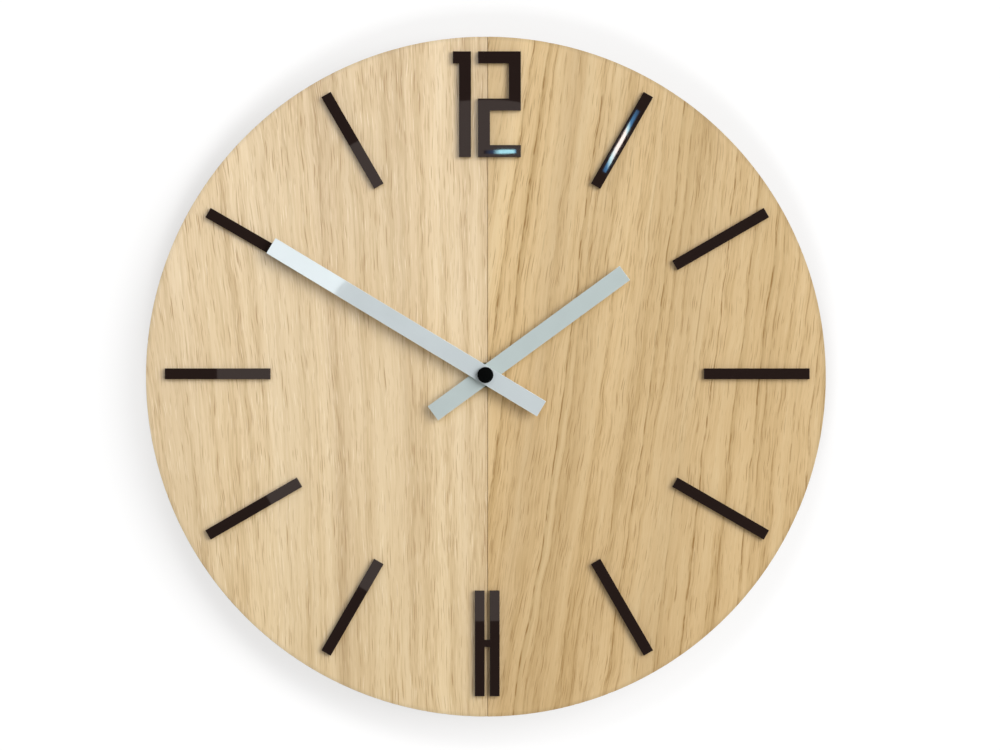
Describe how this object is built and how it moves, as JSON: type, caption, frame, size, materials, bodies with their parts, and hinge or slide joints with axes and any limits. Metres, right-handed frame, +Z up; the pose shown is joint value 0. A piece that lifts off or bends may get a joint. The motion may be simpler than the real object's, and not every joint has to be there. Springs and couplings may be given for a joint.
{
  "type": "wooden wall clock",
  "caption": "Round veneered wooden wall clock with black bar hour marks, two grey bar hands and a battery movement with a hanger behind the dial.",
  "frame": {"origin": "on the wall plane, at the middle of the rear cover, on the axis of the hands", "axes": "+X right and +Z up as seen from the room, +Y into the wall, so the dial faces -Y"},
  "size_m": [0.34, 0.0374, 0.34],
  "materials": {
    "oak_left": "oiled oak veneer with straight upright grain",
    "oak_right": "oiled oak veneer with leaning grain, a shade darker",
    "fibreboard": "plain brown fibreboard",
    "black_acrylic": "polished black acrylic",
    "grey_hand": "satin light grey lacquer",
    "black_nut": "black satin paint",
    "brass": "turned brass",
    "steel": "rolled sheet steel",
    "black_rubber": "matt rubber",
    "black_plastic": "fine moulded texture",
    "knob_plastic": "fine moulded texture",
    "white_plastic": "natural acetal",
    "copper": "enamelled copper wire",
    "board": "green solder mask",
    "magnet": "sintered magnet",
    "cell_sleeve": "printed sleeve in two plain colours"
  },
  "bodies": {
    "root": {"dial_core": "fibreboard", "veneer_left": "oak_left", "veneer_right": "oak_right", "numeral_1": "black_acrylic", "numeral_2": "black_acrylic", "six_mark": "black_acrylic", "hour_bar_1": "black_acrylic", "hour_bar_2": "black_acrylic", "hour_bar_3": "black_acrylic", "hour_bar_4": "black_acrylic", "hour_bar_5": "black_acrylic", "hour_bar_7": "black_acrylic", "hour_bar_8": "black_acrylic", "hour_bar_9": "black_acrylic", "hour_bar_10": "black_acrylic", "hour_bar_11": "black_acrylic", "threaded_bush": "brass", "fixing_washer": "brass", "fixing_nut": "brass", "rubber_gasket": "black_rubber", "hanger": "steel", "front_case": "black_plastic", "rear_cover": "black_plastic", "bridge_plate": "white_plastic", "stator": "steel", "coil_core": "steel", "coil_bobbin": "white_plastic", "coil_winding": "copper", "circuit_board": "board", "chip": "black_plastic", "quartz_crystal": "steel", "contact_negative": "steel", "contact_positive": "steel"},
    "minute": {"minute_arbor": "steel", "minute_hand": "grey_hand", "minute_hand_collet": "brass", "cap_nut": "black_nut", "clutch_spring": "steel"},
    "hour": {"hour_wheel": "white_plastic", "hour_hand": "grey_hand", "hour_hand_collet": "brass"},
    "intermediate": {"intermediate_wheel": "white_plastic"},
    "setting": {"setting_pinion": "white_plastic", "setting_knob": "knob_plastic"},
    "centre": {"centre_wheel": "white_plastic"},
    "third": {"third_wheel": "white_plastic"},
    "seconds": {"seconds_wheel": "white_plastic"},
    "fifth": {"fifth_wheel": "white_plastic"},
    "rotor": {"rotor": "white_plastic", "rotor_magnet": "magnet"},
    "battery": {"battery": "cell_sleeve"}
  },
  "joints": [
    {"name": "minute_turn", "type": "hinge", "parent": "root", "child": "minute", "pos_m": [0, 0, 0], "axis": [0, 1, 0], "continuous": true},
    {"name": "hour_turn", "type": "hinge", "parent": "root", "child": "hour", "pos_m": [0, 0, 0], "axis": [0, 1, 0], "continuous": true},
    {"name": "intermediate_turn", "type": "hinge", "parent": "root", "child": "intermediate", "pos_m": [0, 0, 0.0096], "axis": [0, 1, 0], "continuous": true},
    {"name": "setting_turn", "type": "hinge", "parent": "root", "child": "setting", "pos_m": [0, 0, 0.0192], "axis": [0, 1, 0], "continuous": true},
    {"name": "seconds_turn", "type": "hinge", "parent": "root", "child": "seconds", "pos_m": [0, 0, 0], "axis": [0, 1, 0], "continuous": true},
    {"name": "third_turn", "type": "hinge", "parent": "root", "child": "third", "pos_m": [-0.00935, 0, 0.0054], "axis": [0, 1, 0], "continuous": true},
    {"name": "centre_turn", "type": "hinge", "parent": "root", "child": "centre", "pos_m": [0, 0, 0], "axis": [0, 1, 0], "continuous": true},
    {"name": "fifth_turn", "type": "hinge", "parent": "root", "child": "fifth", "pos_m": [0.00843, 0, 0.00707], "axis": [0, 1, 0], "continuous": true},
    {"name": "rotor_turn", "type": "hinge", "parent": "root", "child": "rotor", "pos_m": [0.01477, 0, 0.00411], "axis": [0, 1, 0], "continuous": true},
    {"name": "battery_slide", "type": "slide", "parent": "root", "child": "battery", "axis": [0, 1, 0], "range_m": [0, 0.018]}
  ],
  "couplings": [
    {"joint": "hour_turn", "follows": "minute_turn", "ratio": 0.083333},
    {"joint": "intermediate_turn", "follows": "minute_turn", "ratio": -0.33333},
    {"joint": "setting_turn", "follows": "minute_turn", "ratio": 1},
    {"joint": "third_turn", "follows": "seconds_turn", "ratio": -0.13333},
    {"joint": "centre_turn", "follows": "seconds_turn", "ratio": 0.016667},
    {"joint": "fifth_turn", "follows": "seconds_turn", "ratio": -5},
    {"joint": "rotor_turn", "follows": "seconds_turn", "ratio": 30}
  ]
}
